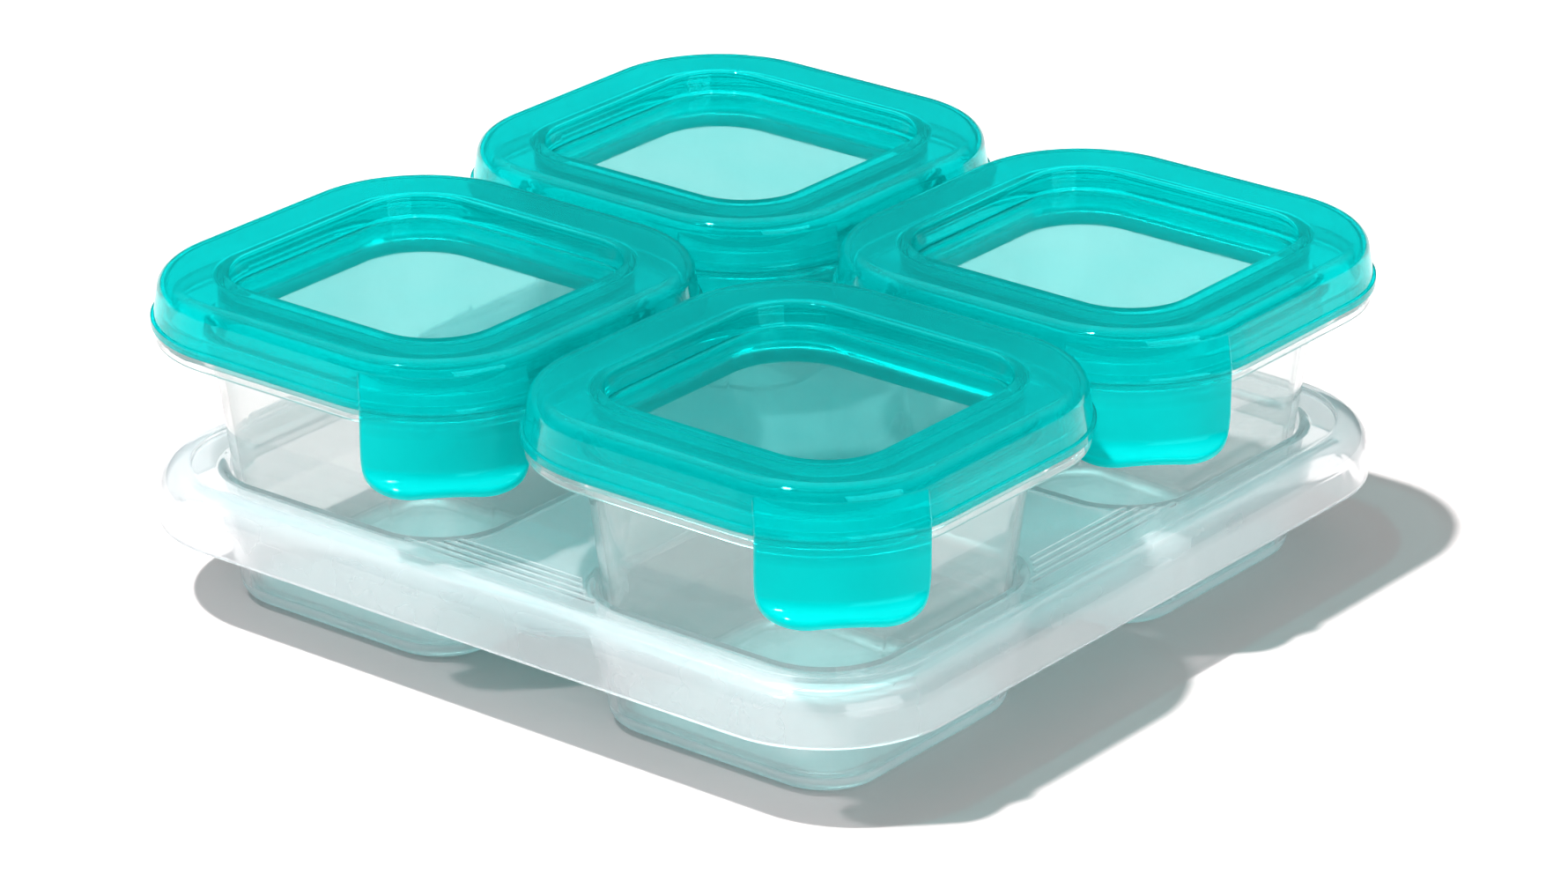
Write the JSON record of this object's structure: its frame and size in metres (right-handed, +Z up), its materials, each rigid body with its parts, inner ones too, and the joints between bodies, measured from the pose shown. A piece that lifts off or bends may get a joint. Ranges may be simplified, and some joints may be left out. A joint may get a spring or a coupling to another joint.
{
  "type": "baby food storage container set",
  "caption": "Square tray with wells that hold clear tapered baby food cups, each closed by a push-on teal lid with a sunk stacking panel and a corner pull tab.",
  "frame": {"origin": "on the ground under the middle of the tray", "axes": "+Z up; -Y is the tray's front, +X its right; every lid's tab points to +X and -Y"},
  "size_m": [0.1602, 0.1602, 0.0575],
  "materials": {
    "teal_lid": "translucent teal polypropylene, smooth and glossy",
    "clear_cup": "clear polypropylene, smooth and glossy",
    "frosted_tray": "milky clear polypropylene, satin"
  },
  "bodies": {
    "tray": {"tray": "frosted_tray"},
    "cup_front_left": {"cup_front_left": "clear_cup"},
    "lid_front_left": {"lid_front_left": "teal_lid"},
    "cup_front_right": {"cup_front_right": "clear_cup"},
    "lid_front_right": {"lid_front_right": "teal_lid"},
    "cup_back_left": {"cup_back_left": "clear_cup"},
    "lid_back_left": {"lid_back_left": "teal_lid"},
    "cup_back_right": {"cup_back_right": "clear_cup"},
    "lid_back_right": {"lid_back_right": "teal_lid"}
  },
  "joints": [
    {"name": "cup_front_left_lift", "type": "slide", "parent": "tray", "child": "cup_front_left", "axis": [0, 0, 1], "range_m": [0, 0.06]},
    {"name": "lid_front_left_lift", "type": "slide", "parent": "cup_front_left", "child": "lid_front_left", "axis": [0, 0, 1], "range_m": [0, 0.03]},
    {"name": "cup_front_right_lift", "type": "slide", "parent": "tray", "child": "cup_front_right", "axis": [0, 0, 1], "range_m": [0, 0.06]},
    {"name": "lid_front_right_lift", "type": "slide", "parent": "cup_front_right", "child": "lid_front_right", "axis": [0, 0, 1], "range_m": [0, 0.03]},
    {"name": "cup_back_left_lift", "type": "slide", "parent": "tray", "child": "cup_back_left", "axis": [0, 0, 1], "range_m": [0, 0.06]},
    {"name": "lid_back_left_lift", "type": "slide", "parent": "cup_back_left", "child": "lid_back_left", "axis": [0, 0, 1], "range_m": [0, 0.03]},
    {"name": "cup_back_right_lift", "type": "slide", "parent": "tray", "child": "cup_back_right", "axis": [0, 0, 1], "range_m": [0, 0.06]},
    {"name": "lid_back_right_lift", "type": "slide", "parent": "cup_back_right", "child": "lid_back_right", "axis": [0, 0, 1], "range_m": [0, 0.03]}
  ]
}
